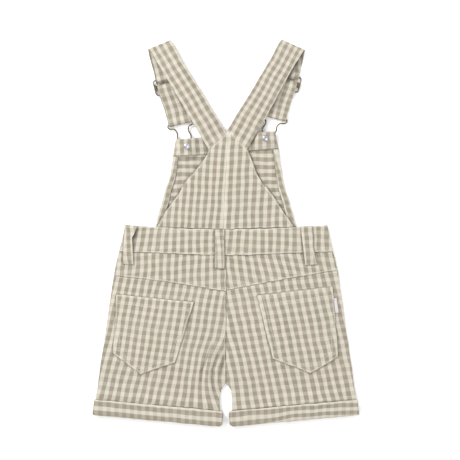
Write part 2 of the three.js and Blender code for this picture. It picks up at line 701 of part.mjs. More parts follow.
for (const [name, settings] of Object.entries(STRAPS)) {
  addPiece(`strap_${name}`, strap(settings), COLOURS.face);
  addPiece(`slider_${name}`, slider(settings), COLOURS.brass, 0.45, 0.9);
  addPiece(`hook_${name}`, hook(settings, BUTTONS[name]), COLOURS.brass, 0.45, 0.9);
  addPiece(`bib_button_${name}`, lathed(CAP_PROFILE, 16, BUTTONS[name].button), COLOURS.brass, 0.45, 0.9);
  addPiece(`bib_rivet_${name}`, lathed(RIVET_PROFILE, 14, BUTTONS[name].button), COLOURS.steel, 0.35, 0.9);
}

export default group;
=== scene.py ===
# Toddler's gingham shortalls laid flat on their front, seen from the back, dressed round the solids.
# Metres, +Z up, +Y towards the straps. The garment is put together from the surface upwards.
import math

import bmesh
import bpy
from mathutils import Matrix, Vector, noise
from mathutils.bvhtree import BVHTree
from mathutils.kdtree import KDTree


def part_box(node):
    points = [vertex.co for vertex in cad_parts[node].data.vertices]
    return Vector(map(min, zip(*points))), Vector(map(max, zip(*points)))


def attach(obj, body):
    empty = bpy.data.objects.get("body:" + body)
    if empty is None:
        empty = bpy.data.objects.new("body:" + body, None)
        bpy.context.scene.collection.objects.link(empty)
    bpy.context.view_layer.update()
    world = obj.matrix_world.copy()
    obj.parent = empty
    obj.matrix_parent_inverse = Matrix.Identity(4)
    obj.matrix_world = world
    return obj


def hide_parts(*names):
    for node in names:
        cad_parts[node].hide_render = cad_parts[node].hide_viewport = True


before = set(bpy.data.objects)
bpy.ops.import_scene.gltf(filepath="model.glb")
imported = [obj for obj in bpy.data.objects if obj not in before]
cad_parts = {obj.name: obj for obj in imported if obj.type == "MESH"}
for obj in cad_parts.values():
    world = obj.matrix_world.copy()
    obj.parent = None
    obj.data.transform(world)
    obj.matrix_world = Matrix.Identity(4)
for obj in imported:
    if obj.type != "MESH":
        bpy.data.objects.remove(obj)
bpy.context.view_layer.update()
mm = 0.001

# The surface that the garment lies on, a plain white table under a broad window at the upper left.
# The camera hangs straight above it, and one pixel of the picture covers 1.28 mm of the table.
pixel = 1.28 * mm
picture_width = 460 * pixel
lens_mm = 100
sensor_mm = 36
camera_data = bpy.data.cameras.new("camera_above")
camera_data.lens = lens_mm
camera_data.sensor_width = sensor_mm
camera = bpy.data.objects.new("camera_above", camera_data)
bpy.context.scene.collection.objects.link(camera)
camera.location = (4 * pixel, 4 * pixel, picture_width * lens_mm / sensor_mm)
bpy.context.scene.camera = camera
bpy.context.scene.view_settings.view_transform = "Standard"

table_top = bmesh.new()
bmesh.ops.create_grid(table_top, x_segments=1, y_segments=1, size=3)
bmesh.ops.translate(table_top, verts=table_top.verts, vec=(0, 0, -0.2 * mm))
table_data = bpy.data.meshes.new("white_table")
table_top.to_mesh(table_data)
table_top.free()
white_table = bpy.data.objects.new("white_table", table_data)
bpy.context.scene.collection.objects.link(white_table)
table_finish = bpy.data.materials.new("plain_white_table")
table_finish.use_nodes = True
table_shader = table_finish.node_tree.nodes["Principled BSDF"]
table_shader.inputs["Base Color"].default_value = (0.97, 0.97, 0.965, 1)
table_shader.inputs["Roughness"].default_value = 0.9
white_table.data.materials.append(table_finish)


def soft_light(name, place, size, watts):
    lamp = bpy.data.lights.new(name, "AREA")
    lamp.size = size
    lamp.energy = watts
    light = bpy.data.objects.new(name, lamp)
    light.location = place
    light.rotation_euler = (Vector((0, 0, 0)) - Vector(place)).to_track_quat("-Z", "Y").to_euler()
    bpy.context.scene.collection.objects.link(light)


soft_light("window_upper_left", (-1.15, 1.15, 1.25), size=0.7, watts=31)
soft_light("fill_right", (1.5, -0.9, 1.7), size=1.6, watts=6)
sky = bpy.data.worlds.new("soft_sky")
sky.use_nodes = True
sky.node_tree.nodes["Background"].inputs["Color"].default_value = (1, 1, 1, 1)
sky.node_tree.nodes["Background"].inputs["Strength"].default_value = 1.12
bpy.context.scene.world = sky

# The front legs, undermost, are cotton gingham yarn-dyed in taupe and cream: 5 mm checks in a
# light twill that shows its warp on the face and its weft on the wrong side.
check = 5 * mm
repeat = 2 * check
taupe_green = (0.212, 0.195, 0.140)
taupe_pink = (0.238, 0.203, 0.158)
cream_cool = (0.500, 0.470, 0.402)
cream_warm = (0.520, 0.472, 0.400)
washed_out = (0.41, 0.375, 0.306)
# the next two colours: a pale cream for ridges, as rubbed cloth and as painted highlight, and a painted
# shade for crevices and for the cloth under other pieces
worn_and_lit_cream = (0.62, 0.585, 0.50)
seam_shadow = (0.050, 0.042, 0.028)
sides = {"left": -1, "right": 1}


def link(tree, source, target):
    tree.links.new(source, target)


def calculate(tree, operation, first, second=None):
    node = tree.nodes.new("ShaderNodeMath")
    node.operation = operation
    for socket, value in zip(node.inputs, (first, second)):
        if isinstance(value, (int, float)):
            socket.default_value = value
        elif value is not None:
            link(tree, value, socket)
    return node.outputs[0]


def blend_colours(tree, factor, first, second):
    node = tree.nodes.new("ShaderNodeMix")
    node.data_type = "RGBA"
    for socket, value in zip((node.inputs[0], node.inputs[6], node.inputs[7]), (factor, first, second)):
        if isinstance(value, (int, float)):
            socket.default_value = value
        elif isinstance(value, tuple):
            socket.default_value = (*value, 1)
        else:
            link(tree, value, socket)
    return node.outputs[2]


def ease(tree, value, low, high, out_low=0.0, out_high=1.0):
    node = tree.nodes.new("ShaderNodeMapRange")
    node.interpolation_type = "SMOOTHSTEP"
    link(tree, value, node.inputs[0])
    for socket, number in zip(node.inputs[1:5], (low, high, out_low, out_high)):
        socket.default_value = number
    return node.outputs[0]


def new_finish(name, coordinate="cloth"):
    finish = bpy.data.materials.new(name)
    finish.use_nodes = True
    tree = finish.node_tree
    if coordinate == "cloth":
        place = tree.nodes.new("ShaderNodeUVMap")
        place.uv_map = "cloth"
        return finish, tree, tree.nodes["Principled BSDF"], place.outputs[0]
    place = tree.nodes.new("ShaderNodeTexCoord")
    return finish, tree, tree.nodes["Principled BSDF"], place.outputs["Object"]


def speckle(tree, place, scales, detail=2.0):
    stretch = tree.nodes.new("ShaderNodeMapping")
    stretch.inputs["Scale"].default_value = scales
    link(tree, place, stretch.inputs[0])
    grains = tree.nodes.new("ShaderNodeTexNoise")
    grains.inputs["Scale"].default_value = 1
    grains.inputs["Detail"].default_value = detail
    link(tree, stretch.outputs[0], grains.inputs[0])
    return grains.outputs[0]


def raise_surface(tree, shader, height, distance, strength=1.0):
    bump = tree.nodes.new("ShaderNodeBump")
    bump.inputs["Strength"].default_value = strength
    bump.inputs["Distance"].default_value = distance
    link(tree, height, bump.inputs["Height"])
    link(tree, bump.outputs[0], shader.inputs["Normal"])


def gingham(name, weft_on_top=False):
    """Coordinates count in repeats, with a dark stripe centred on each whole number."""
    finish, tree, shader, place = new_finish(name)
    split = tree.nodes.new("ShaderNodeSeparateXYZ")
    link(tree, place, split.inputs[0])
    across, along = split.outputs[0], split.outputs[1]

    def dyed_yarns(count, along_yarns, across_yarns):
        slubs = speckle(tree, place, along_yarns)
        hue = speckle(tree, place, across_yarns, 0.0)
        wander = calculate(tree, "MULTIPLY", calculate(tree, "SUBTRACT", slubs, 0.5), 0.12)
        wave = calculate(tree, "PINGPONG", calculate(tree, "ADD", count, wander), 0.5)
        dark = ease(tree, wave, 0.225, 0.305, 1.0, 0.0)
        uneven = calculate(tree, "MULTIPLY", calculate(tree, "SUBTRACT", slubs, 0.5), 0.8)
        dark = calculate(tree, "ADD", dark, uneven)
        tint = ease(tree, hue, 0.36, 0.64)
        darks = blend_colours(tree, tint, taupe_green, taupe_pink)
        lights = blend_colours(tree, tint, cream_cool, cream_warm)
        return blend_colours(tree, dark, lights, darks)

    warp = dyed_yarns(across, (9, 0.5, 1), (1.7, 0.06, 1))
    weft = dyed_yarns(along, (0.5, 9, 1), (0.06, 1.7, 1))
    yarn = 0.042
    lean = calculate(tree, "MULTIPLY", along, -1.0 if weft_on_top else 1.0)
    diagonal = calculate(tree, "DIVIDE", calculate(tree, "ADD", across, lean), 3 * yarn)
    ribs = calculate(tree, "PINGPONG", diagonal, 0.5)
    under_share = ease(tree, ribs, 0.18, 0.48, 0.09, 0.66)
    top, under = (weft, warp) if weft_on_top else (warp, weft)
    cloth_colour = blend_colours(tree, under_share, top, under)
    washed = ease(tree, speckle(tree, place, (0.35, 0.35, 1), 3.0), 0.38, 0.7, 0.0, 0.14)
    cloth_colour = blend_colours(tree, washed, cloth_colour, washed_out)
    # This attribute carries painted light and wear: below zero it paints shade into crevices and under other
    # pieces, above zero it paints ridges pale, as rubbed cloth and as painted highlight.
    painted_light_and_wear = tree.nodes.new("ShaderNodeAttribute")
    painted_light_and_wear.attribute_name = "painted_light_and_wear"
    rubbed_and_lit = calculate(tree, "MAXIMUM", painted_light_and_wear.outputs["Fac"], 0.0)
    painted_shade = calculate(tree, "MAXIMUM", calculate(tree, "MULTIPLY", painted_light_and_wear.outputs["Fac"], -0.8), 0.0)
    cloth_colour = blend_colours(tree, rubbed_and_lit, cloth_colour, worn_and_lit_cream)
    link(tree, blend_colours(tree, painted_shade, cloth_colour, seam_shadow), shader.inputs["Base Color"])
    shader.inputs["Roughness"].default_value = 0.88
    shader.inputs["Specular IOR Level"].default_value = 0.2
    shader.inputs["Sheen Weight"].default_value = 0.12
    shader.inputs["Sheen Roughness"].default_value = 0.6
    threads = calculate(tree, "PINGPONG", calculate(tree, "DIVIDE", across, yarn), 0.5)
    crumple = calculate(tree, "MULTIPLY", speckle(tree, place, (1.1, 0.8, 1), 3.0), 3.4)
    rib_height = calculate(tree, "MULTIPLY", ribs, 1.2)
    relief = calculate(tree, "ADD", rib_height, calculate(tree, "MULTIPLY", threads, 0.5))
    raise_surface(tree, shader, calculate(tree, "ADD", relief, crumple), 0.16 * mm, 0.6)
    return finish


gingham_face = gingham("gingham_face")
gingham_wrong_side = gingham("gingham_wrong_side", weft_on_top=True)


def smooth(low, high, value):
    t = min(max((value - low) / (high - low), 0.0), 1.0)
    return t * t * (3 - 2 * t)


def swell(distance, width):
    return math.exp(-((distance / width) ** 2))


def cut_of(dark_x, dark_y, lean=None, slope=0.0, repeats=(repeat, repeat)):
    """How a piece is cut: a dark warp stripe lies at dark_x, shifted by lean, and a dark weft stripe at
    dark_y, climbing by slope towards both sides."""

    def grain(co):
        shift = lean(co) if lean else 0.0
        return (co.x - dark_x - shift) / repeats[0], (co.y - dark_y - slope * abs(co.x)) / repeats[1]
    return grain


def leaning(degrees, level, side=1):
    return lambda co: side * (level - co.y) * math.tan(math.radians(degrees))


def drift(co):
    """The small unevenness in plan that all the cloth shares, so that no edge runs quite straight."""
    aside = noise.noise(Vector((co.x * 85, co.y * 85, 0.4)))
    along = noise.noise(Vector((co.x * 85, co.y * 85, 9.1)))
    return Vector((aside, along, 0)) * 0.6 * mm


def weave_stray(co):
    """How far the weave strays from its straight run at a point, across and along, in repeats."""
    spot = Vector((co.x * 30, co.y * 30, 3.3))
    return Vector((noise.noise(spot), noise.noise(spot + Vector((0, 0, 8))))) * 0.1


# the surface of each finished shell, by its node, for the stitches to lie on
surfaces = {}
fine_cell = 1.6 * mm


def cloth_shell(
    node, grain, creases=(), painted_lights_and_wears=(), reshape=None,
    cell=fine_cell, roll=0.45 * mm, evened=14, wrong_side=False,
):
    """A fine shell on the form of one solid: edges rolled, facets evened, creases laid in. Its painted light
    and wear run from -1, painted shade deep in a crevice, to 1, painted pale along a ridge as rubbed cloth
    and painted highlight."""
    shell = bmesh.new()
    shell.from_mesh(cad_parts[node].data)
    bmesh.ops.remove_doubles(shell, verts=shell.verts, dist=1e-6)
    bmesh.ops.join_triangles(shell, faces=shell.faces, angle_face_threshold=0.5, angle_shape_threshold=1.2)
    rim_angle = 0.9
    rim = [edge for edge in shell.edges if len(edge.link_faces) == 2 and edge.calc_face_angle() > rim_angle]
    bmesh.ops.bevel(shell, geom=rim, offset=roll, segments=2, profile=0.5, affect="EDGES", material=-1)
    most_halvings = 5
    for _ in range(most_halvings):
        coarse = [edge for edge in shell.edges if edge.calc_length() > cell * 1.3]
        if coarse:
            bmesh.ops.subdivide_edges(shell, edges=coarse, cuts=1, use_grid_fill=True)
    level = [vertex for vertex in shell.verts if all(abs(face.normal.z) > 0.7 for face in vertex.link_faces)]
    for _ in range(evened):
        bmesh.ops.smooth_vert(shell, verts=level, factor=0.5, use_axis_z=True)
    cloth_layer = shell.loops.layers.uv.new("cloth")
    light_and_wear_layer = shell.verts.layers.float.new("painted_light_and_wear")
    for face in shell.faces:
        face.smooth = True
        for corner in face.loops:
            corner[cloth_layer].uv = Vector(grain(corner.vert.co)) + weave_stray(corner.vert.co)
    for vertex in shell.verts:
        steepest = min(abs(face.normal.z) for face in vertex.link_faces)
        # painted shade on the steep rims where each piece's edges roll down
        rim_shade = -0.15 * (1 - smooth(0.1, 0.7, steepest))
        total = rim_shade + sum(painted_light_and_wear(vertex.co) for painted_light_and_wear in painted_lights_and_wears)
        vertex[light_and_wear_layer] = min(max(total, -1.0), 1.0)
    for vertex in shell.verts:
        vertex.co.z = max(vertex.co.z + sum(crease(vertex.co) for crease in creases), 0.0)
        if reshape:
            vertex.co = reshape(vertex.co)
        vertex.co += drift(vertex.co)
    shell.normal_update()
    surfaces[node] = BVHTree.FromBMesh(shell)
    data = bpy.data.meshes.new(node + "_cloth")
    shell.to_mesh(data)
    shell.free()
    piece = bpy.data.objects.new(node + "_cloth", data)
    bpy.context.scene.collection.objects.link(piece)
    piece.data.materials.append(gingham_wrong_side if wrong_side else gingham_face)
    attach(piece, "root")
    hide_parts(node)
    return piece


leg_level = -75 * mm
leg_turns = {"left": (13.3, 8.8), "right": (12.2, 12.2)}
crotch_pull = {"left": 11 * mm, "right": 3 * mm}
leg_dark_x = {"left": -78.7 * mm, "right": 8.8 * mm}
leg_dark_y = {"left": -71.6 * mm, "right": -75 * mm}
leg_repeats = {"left": (9.8 * mm, 10.7 * mm), "right": (10.9 * mm, 10.2 * mm)}


def leg_lean(side):
    """Stripes run outwards going down, and near the crotch they are pulled out and back in again."""
    at_side, at_centre = leg_turns[side]

    def lean(co):
        reach = abs(co.x)
        turn = at_side + (at_centre - at_side) * (1 - min(reach / (160 * mm), 1))
        drop = leg_level - co.y
        pulled = smooth(50 * mm, 100 * mm, drop) - 2.1 * smooth(106 * mm, 165 * mm, drop)
        pull = crotch_pull[side] * swell(reach, 34 * mm) * pulled
        return sides[side] * (drop * math.tan(math.radians(turn)) + pull)
    return lean


def leg_grain(side):
    return cut_of(leg_dark_x[side], leg_dark_y[side], leg_lean(side), 0.09, leg_repeats[side])


for side in sides:
    front_leg = cloth_shell(f"front_leg_{side}", leg_grain(side), cell=5 * mm)

# The front waistband, a straight strip folded double that lies under the back one.
# Both waistbands are cut with the stripes upright, and the back one leans a little where it was eased.
band_repeat = (10.25 * mm, 10 * mm)
front_band_grain = cut_of(-16.3 * mm, -10.6 * mm, repeats=band_repeat)
waistband_front = cloth_shell("waistband_front", front_band_grain, cell=4 * mm)

# The bib lies face down, so its wrong side shows with the weft stripes running across it. Its top
# and side edges are turned to the inside as narrow hems, which show the face and a stitched row.
thread_cream = (0.68, 0.645, 0.565)
thread_shade = (0.54, 0.505, 0.43)


def thread_finish():
    finish, tree, shader, place = new_finish("cream_thread", "object")
    fibres = ease(tree, speckle(tree, place, (2600, 2600, 2600)), 0.3, 0.7, 0.0, 1.0)
    link(tree, blend_colours(tree, fibres, thread_cream, thread_shade), shader.inputs["Base Color"])
    shader.inputs["Roughness"].default_value = 0.7
    raise_surface(tree, shader, fibres, 0.05 * mm)
    return finish


cream_thread = thread_finish()


def upper_outline(node):
    """The outline of a solid's upper side, as the two ends of each edge, with the cloth on the left."""
    least_upward = 0.6
    solid = bmesh.new()
    solid.from_mesh(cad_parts[node].data)
    bmesh.ops.remove_doubles(solid, verts=solid.verts, dist=1e-6)
    edges = []
    for face in solid.faces:
        if face.normal.z > least_upward:
            for corner in face.loops:
                beyond = corner.link_loop_radial_next.face
                if beyond.normal.z < least_upward:
                    edges.append((corner.vert.co.copy(), corner.link_loop_next.vert.co.copy()))
    solid.free()
    return edges


def stretches(node, keep):
    """The connected stretches of an outline whose edges keep(middle, outward) picks, as lists of points."""
    starts = {}
    for start, end in upper_outline(node):
        outward = Vector((end.y - start.y, start.x - end.x)).normalized()
        if keep((start + end) / 2, outward):
            starts[start.to_tuple(6)] = (start, end)
    ends = {end.to_tuple(6) for _, end in starts.values()}
    found = []
    heads = [key for key in starts if key not in ends] or list(starts)[:1]
    for key in heads:
        points = [starts[key][0]]
        while key in starts:
            end = starts.pop(key)[1]
            points.append(end)
            key = end.to_tuple(6)
        found.append(points)
    return found


def moved_in(points, distance):
    """The same stretch moved in from the edge, with mitred corners."""
    flat = [Vector((point.x, point.y)) for point in points]
    normals = []
    for start, end in zip(flat, flat[1:]):
        step = (end - start).normalized()
        normals.append(Vector((-step.y, step.x)))
    result = []
    for index, point in enumerate(flat):
        before = normals[max(index - 1, 0)]
        after = normals[min(index, len(normals) - 1)]
        miter = (before + after).normalized()
        result.append(point + miter * distance / max(miter.dot(after), 0.5))
    return result


def paced(points, pitch):
    """Points at an even pitch along a line, each with its direction."""
    left_over = pitch / 2
    for start, end in zip(points, points[1:]):
        run = end - start
        length = run.length
        at = left_over
        while at < length:
            yield start + run * (at / length), run / length
            at += pitch
        left_over = at - length


def distance_from(runs):
    """A function that gives a point's distance from the nearest of the stretches, seen from above."""
    samples = [point for run in runs for point, _ in paced(moved_in(run, 0), 0.8 * mm)]
    nearest = KDTree(len(samples))
    for index, point in enumerate(samples):
        nearest.insert((point.x, point.y, 0), index)
    nearest.balance()
    return lambda co: nearest.find((co.x, co.y, 0))[2]


def light_and_wear_beside(runs, strength, width=0.95 * mm, row=0.0):
    """Uneven painted light along an edge: below zero painted shade in the crevice beside it, above zero a
    ridge painted pale as rubbed cloth and painted highlight.
    """
    distance = distance_from(runs)

    def painted_light_and_wear(co):
        away = distance(co)
        if away > 4 * mm:
            return 0.0
        uneven = 0.25 + 0.75 * smooth(-0.3, 0.25, noise.noise(Vector((co.x, co.y, 5.2)) * 120))
        return strength * uneven * swell(away - row, width)
    return painted_light_and_wear


def all_round(*nodes):
    return [stretch for node in nodes for stretch in stretches(node, lambda middle, outward: True)]


def sewn_edge(runs, rows, depth=0.28 * mm, gather=0.22 * mm):
    """The relief of a sewn edge: a trough under each row of stitches and small uneven gathers beside it."""
    distance = distance_from(runs)

    def relief(co):
        away = distance(co)
        if away > 16 * mm:
            return 0.0
        troughs = sum(swell(away - row, 0.9 * mm) for row in rows)
        puckers = noise.noise(Vector((co.x, co.y, away)) * 165) * swell(away, 6 * mm)
        return -depth * troughs + gather * puckers
    return relief


def stitches(name, node, runs, rows, pitch=2.9 * mm):
    """Rows of lock stitches lying on a shell, each stitch a small joined bead of thread."""
    half_length, half_width, half_height = 1.15 * mm, 0.36 * mm, 0.24 * mm
    ray_top = 50 * mm
    straight_down = Vector((0, 0, -1))
    surface = surfaces[node]
    sewn = bmesh.new()
    for run in runs:
        for row in rows:
            for on_line, step in paced(moved_in(run, row), pitch):
                middle = on_line + drift(on_line).to_2d()
                tips = [middle - step * half_length, middle + step * half_length]
                hits = [surface.ray_cast(Vector((*tip, ray_top)), straight_down)[0] for tip in tips]
                if None in hits:
                    continue
                forward = (hits[1] - hits[0]).normalized()
                sideways = Vector((0, 0, 1)).cross(forward).normalized()
                upward = forward.cross(sideways)
                turn = Matrix((forward, sideways, upward)).transposed().to_4x4()
                centre = (hits[0] + hits[1]) / 2 + upward * half_height * 0.4
                size = Matrix.Diagonal((half_length, half_width, half_height, 1))
                place = Matrix.Translation(centre) @ turn @ size
                bmesh.ops.create_icosphere(sewn, subdivisions=1, radius=1, matrix=place)
    for face in sewn.faces:
        face.smooth = True
    data = bpy.data.meshes.new(name)
    sewn.to_mesh(data)
    sewn.free()
    piece = bpy.data.objects.new(name, data)
    bpy.context.scene.collection.objects.link(piece)
    piece.data.materials.append(cream_thread)
    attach(piece, "root")
    return piece


hem_row = 1.6 * mm
hem_edges = all_round("bib_hem_top", "bib_hem_left", "bib_hem_right")


def at_strap_end(middle, outward):
    return middle.z > 4 * mm and middle.y < 140 * mm


strap_ends = [run for side in sides for run in stretches(f"strap_{side}", at_strap_end)]
# painted shade on the cloth beside the back panels, the strap ends and the hems, and the hems' ridges
# painted pale as rubbed cloth and painted highlight
shade_by_panels_and_straps = light_and_wear_beside(all_round("back_panel_left", "back_panel_right") + strap_ends, -0.9, 1.3 * mm)
shade_by_hems = light_and_wear_beside(hem_edges, -0.75)
hem_ridge_light_and_wear = light_and_wear_beside(hem_edges, 0.35, row=0.8 * mm)
bib_grain = cut_of(1 * mm, 97 * mm, slope=-0.02)
bib = cloth_shell("bib_front", bib_grain, painted_lights_and_wears=[shade_by_panels_and_straps, shade_by_hems], wrong_side=True)
top_hem_grain = cut_of(3.5 * mm, 118 * mm, leaning(3, 120 * mm))
hem_shells = [cloth_shell("bib_hem_top", top_hem_grain, painted_lights_and_wears=[shade_by_panels_and_straps, hem_ridge_light_and_wear])]
for side in sides:
    hem_grain = cut_of(0.0, 50 * mm, leaning(16, 100 * mm, sides[side]))
    hem_shells.append(cloth_shell(f"bib_hem_{side}", hem_grain, painted_lights_and_wears=[shade_by_panels_and_straps, hem_ridge_light_and_wear]))
top_hem_inside = stretches("bib_hem_top", lambda middle, outward: outward.y < -0.8)
hem_stitches = stitches("bib_hem_stitches", "bib_hem_top", top_hem_inside, [hem_row])

# The tack buttons hold the bib's top corners. Their caps lie underneath, and inside the bib each
# shank ends in a round silver back, pressed to a low ring with a dished middle.
button_places = {"left": (-49.7 * mm, 111.9 * mm), "right": (50.3 * mm, 121.6 * mm)}
rivet_profile = [
    # radius and height in mm, from the dished middle over the ring to the rim and back to the axis
    (0.0, 0.35), (0.9, 0.35), (1.3, 0.75), (2.1, 1.05), (3.0, 1.0), (3.6, 0.62), (4.0, 0.3), (4.15, 0.0),
    (0.0, 0.0),
]


def metal_finish(name, colour, tarnish, roughness):
    finish, tree, shader, place = new_finish(name, "object")
    patches = ease(tree, speckle(tree, place, (260, 260, 260), 4.0), 0.36, 0.66)
    link(tree, blend_colours(tree, patches, colour, tarnish), shader.inputs["Base Color"])
    shader.inputs["Metallic"].default_value = 1.0
    link(tree, ease(tree, patches, 0.0, 1.0, roughness, roughness + 0.2), shader.inputs["Roughness"])
    raise_surface(tree, shader, speckle(tree, place, (1500, 1500, 1500)), 0.03 * mm, 0.5)
    return finish


silver_back = metal_finish("silver_tack_back", (0.52, 0.51, 0.545), (0.30, 0.30, 0.33), 0.3)
antique_brass = metal_finish("antique_brass", (0.20, 0.165, 0.095), (0.085, 0.070, 0.040), 0.34)


def finished(name, mesh, finish, slot, *nodes):
    """Turns a bmesh into a piece that rides on the garment and stands for its solids."""
    for face in mesh.faces:
        face.smooth = True
    data = bpy.data.meshes.new(name)
    mesh.to_mesh(data)
    mesh.free()
    piece = bpy.data.objects.new(name, data)
    bpy.context.scene.collection.objects.link(piece)
    piece.data.materials.append(finish)
    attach(piece, "root")
    if nodes:
        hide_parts(*nodes)
    return piece


for side, (at_x, at_y) in button_places.items():
    rivet_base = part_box(f"bib_rivet_{side}")[0][2]
    rivet = bmesh.new()
    ring = [
        rivet.verts.new((at_x + radius * mm, at_y, rivet_base + height * mm))
        for radius, height in rivet_profile
    ]
    for start, end in zip(ring, ring[1:]):
        rivet.edges.new((start, end))
    bmesh.ops.spin(
        rivet, geom=[*rivet.verts, *rivet.edges], cent=(at_x, at_y, 0), axis=(0, 0, 1),
        angle=2 * math.pi, steps=28, use_merge=True,
    )
    bmesh.ops.remove_doubles(rivet, verts=rivet.verts, dist=1e-6)
    bmesh.ops.recalc_face_normals(rivet, faces=rivet.faces)
    finished(f"rivet_back_{side}", rivet, silver_back, "tack_back", f"bib_rivet_{side}")
    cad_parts[f"bib_button_{side}"].material_slots[0].material = antique_brass

# Sliders and hanger hooks, bent from 1.8 mm antique brass wire: the slider is a frame with a middle
# bar, and the hook is one loop, wide where the strap goes round it and narrow round the button.
wire_swell = 0.13 * mm
for name in [f"{kind}_{side}" for kind in ("slider", "hook") for side in sides]:
    wire = bmesh.new()
    wire.from_mesh(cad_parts[name].data)
    bmesh.ops.remove_doubles(wire, verts=wire.verts, dist=1e-6)
    bmesh.ops.join_triangles(wire, faces=wire.faces, angle_face_threshold=0.7, angle_shape_threshold=1.2)
    wire.normal_update()
    for vertex in wire.verts:
        vertex.co += vertex.normal * wire_swell
    wire_piece = finished(f"{name}_wire", wire, antique_brass, "antique_brass", name)
    rounding = wire_piece.modifiers.new("round_section", "SUBSURF")
    rounding.levels = 2
    rounding.render_levels = 2

# The straps are folded cloth 30 mm wide, stitched down both edges, with three dark stripes along
# them. Each runs up from the peak, turns over, and comes down through its slider to its hook.
strap_width = 30 * mm
fold_radius = 2.6 * mm
strap_lines = {
    # the middle of the fold, the directions of the runs, how far down the lower run the slider and the
    # hook hold it and how far aside, and how much the fold is raised and widened, all in mm
    "left": {
        "fold": (-83.5, 237.55), "up": (-0.52, 0.854), "down": (0.225, -0.974),
        "bars": (56.8, 106.5), "aside": (-0.6, -4.2), "raised": 1.5, "widened": 1.6,
    },
    "right": {
        "fold": (84.6, 236.85), "up": (0.52, 0.854), "down": (-0.25, -0.968),
        "bars": (51.2, 98), "aside": (1.2, -0.8), "raised": 2.0, "widened": 2.6,
    },
}
upper_length = 150 * mm
slot_above_bar = 4.9 * mm
strap_stripes = {
    # where a dark warp stripe lies across the strap, and the repeat there, both in mm
    "left": {
        "seam": (-1.2, 10.15), "fold": (-1.2, 8.4), "slider": (-3.5, 9.4), "past_slider": (1.1, 9.4),
    },
    "right": {
        "seam": (-14.8, 10.4), "fold": (-14.8, 7.8), "slider": (-6.1, 9.05), "past_slider": (2.9, 9.05),
    },
}
strap_wefts = {
    # shift and repeat of the weft stripes along the upper and the lower run, both in mm
    "left": {"upper": (-1.15, 10.9), "lower": (-5.9, 11.2)},
    "right": {"upper": (-3.85, 9.5), "lower": (1.3, 8.6)},
}


def fold_axes(side):
    """The middle of the fold, and the directions up the upper run, down the lower run, outwards across
    the upper run, and over the fold."""
    lines = strap_lines[side]
    fold = Vector((*lines["fold"], 0)) * mm
    upward = Vector((*lines["up"], 0)).normalized()
    downward = Vector((*lines["down"], 0)).normalized()
    outward = Vector((sides[side] * upward.y, -sides[side] * upward.x, 0))
    return fold, upward, downward, outward, (upward - downward).normalized()


def strap_place(side):
    """Says for a point of the strap how far it lies along and across, and whether in the upper run."""
    lines = strap_lines[side]
    fold, upward, downward, outward, over = fold_axes(side)
    lower_across = outward - 2 * outward.dot(over) * over
    lower_start = fold + over * math.pi * fold_radius
    near_fold, split_near, split_far = -2 * mm, 3.3 * mm, 5.1 * mm
    slider_at, hook_at = (bar * mm for bar in lines["bars"])
    at_slider, at_hook = (aside * mm for aside in lines["aside"])

    def place(co):
        flat = Vector((co.x, co.y, 0))
        beyond = (flat - fold).dot(over)
        if co.z > (split_near if beyond > near_fold else split_far):
            return (flat - fold).dot(outward), (flat - fold).dot(upward), True
        along = (flat - lower_start).dot(downward)
        skew = at_slider * smooth(0, slider_at - 10 * mm, along)
        skew += (at_hook - at_slider) * smooth(slider_at, hook_at - 10 * mm, along)
        return (flat - lower_start).dot(lower_across) - skew, along, False
    return place


def strap_grain(side):
    """The stripes crowd together towards the fold, and start afresh where the cloth comes back from the
    slider."""
    place = strap_place(side)
    stripes, wefts = strap_stripes[side], strap_wefts[side]
    slider_at = strap_lines[side]["bars"][0] * mm

    def grain(co):
        across, along, upper = place(co)
        if upper:
            start, end, t = "fold", "seam", min(max(-along / upper_length, 0.0), 1.0)
        elif along > slider_at - slot_above_bar:
            start, end, t = "past_slider", "past_slider", 0.0
        else:
            start, end, t = "fold", "slider", smooth(0, slider_at - 10 * mm, along)
        dark, spacing = (a + (b - a) * t for a, b in zip(stripes[start], stripes[end]))
        shift, spacing_along = wefts["upper" if upper else "lower"]
        return (across / mm - dark) / spacing, (along / mm + shift) / spacing_along
    return grain


def strap_reshape(side):
    """The fold stands a little higher and wider than the solid's, and the end is drawn up to the back
    panel."""
    lines = strap_lines[side]
    to_panel = distance_from(all_round(f"back_panel_{side}"))
    fold, upward, _, outward, over = fold_axes(side)
    drawn_up = 0.45 * mm

    def reshape(co):
        from_fold = Vector((co.x, co.y, 0)) - fold
        near_fold = smooth(-26 * mm, -2 * mm, from_fold.dot(over))
        inner_share = min(max(-from_fold.dot(outward) / (strap_width / 2), 0.0), 1.0)
        widening = outward * inner_share * lines["widened"]
        co = co + (over * lines["raised"] - widening) * near_fold * mm
        if co.z > 4 * mm and co.y < 150 * mm:
            co = co - upward * drawn_up * swell(to_panel(co), 1.5 * mm)
        return co
    return reshape


